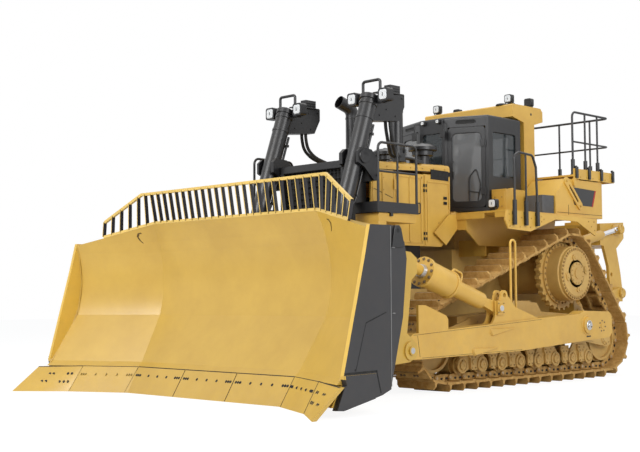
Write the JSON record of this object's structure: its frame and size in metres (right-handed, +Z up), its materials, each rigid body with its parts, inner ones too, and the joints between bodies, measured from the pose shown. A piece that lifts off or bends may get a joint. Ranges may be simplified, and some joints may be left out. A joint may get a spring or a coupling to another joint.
{
  "type": "bulldozer",
  "caption": "Large crawler dozer with a U-shaped blade and spill guard, raised drive sprockets, an enclosed cab with a rollover frame and a single-shank rear ripper",
  "frame": {"origin": "on the ground, at the middle of the overall length and width", "axes": "+Z up, -Y towards the blade at the front, +X towards the machine's left-hand side"},
  "size_m": [6.358, 10.54, 4.752],
  "materials": {
    "yellow_paint": "semi-gloss golden yellow paint",
    "charcoal_paint": "satin near-black paint",
    "cab_paint": "satin dark grey paint",
    "track_steel": "dusty, rubbed bare steel",
    "rod_chrome": "polished rods",
    "tinted_glass": "tinted flat glass",
    "seat_fabric": "woven upholstery",
    "console_plastic": "matt moulded plastic"
  },
  "bodies": {
    "chassis": {"air_intakes": "charcoal_paint", "cab_glass": "tinted_glass", "cab_roof": "cab_paint", "cab_shell": "cab_paint", "cylinder_yokes": "charcoal_paint", "dash_console": "console_plastic", "deck_rails": "charcoal_paint", "engine_block": "charcoal_paint", "exhaust_stacks": "charcoal_paint", "fender_left": "yellow_paint", "fender_right": "yellow_paint", "final_drive_left": "yellow_paint", "final_drive_right": "yellow_paint", "front_platforms": "charcoal_paint", "hood": "yellow_paint", "main_frame": "yellow_paint", "operator_seat": "seat_fabric", "radiator_grille": "charcoal_paint", "radiator_guard": "charcoal_paint", "rear_platform": "yellow_paint", "rear_rails": "charcoal_paint", "rear_tank_left": "yellow_paint", "rear_tank_right": "yellow_paint", "ripper_mount": "yellow_paint", "rollers_left": "track_steel", "rollers_right": "track_steel", "rops": "yellow_paint", "side_panels": "yellow_paint", "track_frame_left": "yellow_paint", "track_frame_right": "yellow_paint", "track_left": "track_steel", "track_right": "track_steel", "work_lamps": "charcoal_paint"},
    "blade": {"moldboard": "yellow_paint", "cutting_edges": "charcoal_paint", "end_plates": "charcoal_paint", "spill_guard": "yellow_paint", "push_arm_left": "yellow_paint", "push_arm_right": "yellow_paint", "tilt_brace": "yellow_paint", "tilt_cylinder": "charcoal_paint"},
    "ripper_arms": {"ripper_frame": "yellow_paint"},
    "ripper_tool": {"ripper_beam": "yellow_paint", "ripper_shank": "yellow_paint"},
    "ripper_tilt_links": {"ripper_tilt_cylinders": "charcoal_paint"},
    "lift_barrel_left": {"lift_cylinder_left": "charcoal_paint"},
    "lift_rod_left": {"lift_rod_left": "rod_chrome"},
    "ripper_barrel_left": {"ripper_lift_cylinder_left": "charcoal_paint"},
    "ripper_rod_left": {"ripper_lift_rod_left": "rod_chrome"},
    "cab_door_left": {"cab_door_left": "cab_paint", "door_glass_left": "tinted_glass"},
    "engine_door_left": {"engine_door_left": "yellow_paint"},
    "lift_barrel_right": {"lift_cylinder_right": "charcoal_paint"},
    "lift_rod_right": {"lift_rod_right": "rod_chrome"},
    "ripper_barrel_right": {"ripper_lift_cylinder_right": "charcoal_paint"},
    "ripper_rod_right": {"ripper_lift_rod_right": "rod_chrome"},
    "cab_door_right": {"cab_door_right": "cab_paint", "door_glass_right": "tinted_glass"},
    "engine_door_right": {"engine_door_right": "yellow_paint"}
  },
  "joints": [
    {"name": "blade_lift", "type": "hinge", "parent": "chassis", "child": "blade", "pos_m": [0, 1.82, 0.89], "axis": [-1, 0, 0], "range_deg": [-7.3, 14.2]},
    {"name": "lift_pivot_left", "type": "hinge", "parent": "chassis", "child": "lift_barrel_left", "pos_m": [0.9, -2.175, 3.354], "axis": [-1, 0, 0], "range_deg": [-5, 9.3]},
    {"name": "lift_extend_left", "type": "slide", "parent": "lift_barrel_left", "child": "lift_rod_left", "axis": [0, -0.3258, -0.9454], "range_m": [-1.18, 0.62]},
    {"name": "lift_pivot_right", "type": "hinge", "parent": "chassis", "child": "lift_barrel_right", "pos_m": [-0.9, -2.175, 3.354], "axis": [-1, 0, 0], "range_deg": [-5, 9.3]},
    {"name": "lift_extend_right", "type": "slide", "parent": "lift_barrel_right", "child": "lift_rod_right", "axis": [0, -0.3258, -0.9454], "range_m": [-1.18, 0.62]},
    {"name": "ripper_lift", "type": "hinge", "parent": "chassis", "child": "ripper_arms", "pos_m": [0, 3.42, 1.08], "axis": [1, 0, 0], "range_deg": [-57, 4]},
    {"name": "ripper_carry", "type": "hinge", "parent": "ripper_arms", "child": "ripper_tool", "pos_m": [0, 4.94591, 1.40434], "axis": [1, 0, 0], "range_deg": [-5, 58]},
    {"name": "ripper_tilt_pivot", "type": "hinge", "parent": "chassis", "child": "ripper_tilt_links", "pos_m": [0, 3.42, 2.27], "axis": [1, 0, 0], "range_deg": [-58, 5]},
    {"name": "ripper_barrel_pivot_left", "type": "hinge", "parent": "chassis", "child": "ripper_barrel_left", "pos_m": [0.42, 3.42, 2.05], "axis": [1, 0, 0], "range_deg": [-33, 2.6]},
    {"name": "ripper_extend_left", "type": "slide", "parent": "ripper_barrel_left", "child": "ripper_rod_left", "axis": [0, 0.8918, -0.4525], "range_m": [-0.055, 0.73]},
    {"name": "ripper_barrel_pivot_right", "type": "hinge", "parent": "chassis", "child": "ripper_barrel_right", "pos_m": [-0.42, 3.42, 2.05], "axis": [1, 0, 0], "range_deg": [-33, 2.6]},
    {"name": "ripper_extend_right", "type": "slide", "parent": "ripper_barrel_right", "child": "ripper_rod_right", "axis": [0, 0.8918, -0.4525], "range_m": [-0.055, 0.73]},
    {"name": "cab_door_hinge_left", "type": "hinge", "parent": "chassis", "child": "cab_door_left", "pos_m": [0.90656, 0.86943, 3.4], "axis": [0, 0, 1], "range_deg": [0, 110]},
    {"name": "engine_door_hinge_left", "type": "hinge", "parent": "chassis", "child": "engine_door_left", "pos_m": [0.814, -1.243, 2.7], "axis": [0, 0, -1], "range_deg": [0, 85]},
    {"name": "cab_door_hinge_right", "type": "hinge", "parent": "chassis", "child": "cab_door_right", "pos_m": [-0.90656, 0.86943, 3.4], "axis": [0, 0, -1], "range_deg": [0, 110]},
    {"name": "engine_door_hinge_right", "type": "hinge", "parent": "chassis", "child": "engine_door_right", "pos_m": [-0.814, -1.243, 2.7], "axis": [0, 0, 1], "range_deg": [0, 85]}
  ],
  "couplings": [
    {"joint": "lift_pivot_left", "follows": "blade_lift", "ratio": 0.6285},
    {"joint": "lift_extend_left", "follows": "blade_lift", "m_per_rad": -4.631},
    {"joint": "lift_pivot_right", "follows": "blade_lift", "ratio": 0.6285},
    {"joint": "lift_extend_right", "follows": "blade_lift", "m_per_rad": -4.631},
    {"joint": "ripper_carry", "follows": "ripper_lift", "ratio": -1},
    {"joint": "ripper_tilt_pivot", "follows": "ripper_lift", "ratio": 1},
    {"joint": "ripper_barrel_pivot_left", "follows": "ripper_lift", "ratio": 0.5675},
    {"joint": "ripper_extend_left", "follows": "ripper_lift", "m_per_rad": -0.7285},
    {"joint": "ripper_barrel_pivot_right", "follows": "ripper_lift", "ratio": 0.5675},
    {"joint": "ripper_extend_right", "follows": "ripper_lift", "m_per_rad": -0.7285}
  ]
}
